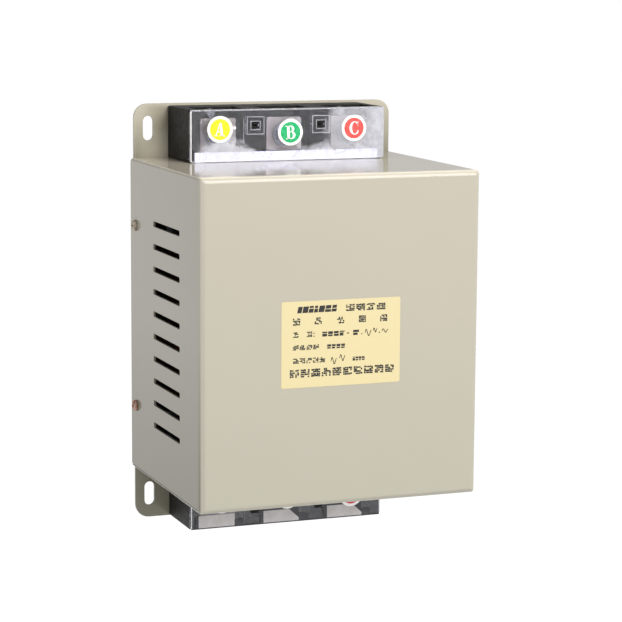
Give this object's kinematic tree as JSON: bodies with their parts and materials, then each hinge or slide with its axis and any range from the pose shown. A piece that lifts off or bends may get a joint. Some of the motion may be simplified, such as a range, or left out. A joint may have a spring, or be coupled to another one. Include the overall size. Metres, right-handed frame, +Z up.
{
  "type": "harmonic filter",
  "caption": "Wall-mounted three-phase filter reactor in a vented folded-steel case, with clear-covered terminals above and below and slotted mounting ears.",
  "frame": {"origin": "centre of the back plate's rear face, where it lies on the wall", "axes": "+X to the right as seen from the front, +Y into the wall, +Z up; the front faces -Y"},
  "size_m": [0.2054, 0.16, 0.301],
  "materials": {
    "beige_paint": "semi-gloss powder coat",
    "plate_paint": "semi-gloss powder coat",
    "black_phenolic": "moulded, satin",
    "clear_plastic": "clear, polished",
    "white_plastic": "plain white",
    "tinned_copper": "dull tin plating",
    "zinc_steel": "bright zinc plating",
    "rusty_steel": "brown with rust",
    "core_steel": "varnished lamination edges",
    "frame_steel": "galvanised",
    "insulating_board": "varnished pressboard",
    "former_moulding": "moulded",
    "varnished_copper": "enamelled and varnished"
  },
  "bodies": {
    "root": {"front_cover": "beige_paint", "back_plate": "plate_paint", "terminal_base_upper": "black_phenolic", "terminal_base_lower": "black_phenolic", "clear_cover_upper": "clear_plastic", "clear_cover_lower": "clear_plastic", "marking_strip_upper": "white_plastic", "marking_strip_lower": "white_plastic", "terminal_bar_upper_a": "tinned_copper", "terminal_bar_upper_b": "tinned_copper", "terminal_bar_upper_c": "tinned_copper", "terminal_bar_lower_a": "tinned_copper", "terminal_bar_lower_b": "tinned_copper", "terminal_bar_lower_c": "tinned_copper", "terminal_bolt_upper_a": "zinc_steel", "terminal_bolt_upper_b": "zinc_steel", "terminal_bolt_upper_c": "zinc_steel", "terminal_bolt_lower_a": "zinc_steel", "terminal_bolt_lower_b": "zinc_steel", "terminal_bolt_lower_c": "zinc_steel", "terminal_washer_upper_a": "zinc_steel", "terminal_washer_upper_b": "zinc_steel", "terminal_washer_upper_c": "zinc_steel", "terminal_washer_lower_a": "zinc_steel", "terminal_washer_lower_b": "zinc_steel", "terminal_washer_lower_c": "zinc_steel", "cover_screw_upper_left": "zinc_steel", "cover_screw_upper_right": "zinc_steel", "cover_screw_lower_left": "rusty_steel", "cover_screw_lower_right": "zinc_steel", "base_screw_upper_left": "zinc_steel", "base_screw_upper_right": "zinc_steel", "base_screw_lower_left": "zinc_steel", "base_screw_lower_right": "zinc_steel", "frame_screw_upper_left": "zinc_steel", "frame_screw_upper_right": "zinc_steel", "frame_screw_lower_left": "zinc_steel", "frame_screw_lower_right": "zinc_steel", "clamp_bolt_upper_left": "zinc_steel", "clamp_bolt_upper_right": "zinc_steel", "clamp_bolt_lower_left": "zinc_steel", "clamp_bolt_lower_right": "zinc_steel", "core_e_stack": "core_steel", "core_upper_yoke": "core_steel", "core_frame_rear_upper": "frame_steel", "core_frame_rear_lower": "frame_steel", "core_clamp_front_upper": "frame_steel", "core_clamp_front_lower": "frame_steel", "air_gap_plate_a": "insulating_board", "air_gap_plate_b": "insulating_board", "air_gap_plate_c": "insulating_board", "coil_former_a": "former_moulding", "coil_former_b": "former_moulding", "coil_former_c": "former_moulding", "winding_a": "varnished_copper", "winding_b": "varnished_copper", "winding_c": "varnished_copper"}
  },
  "joints": []
}
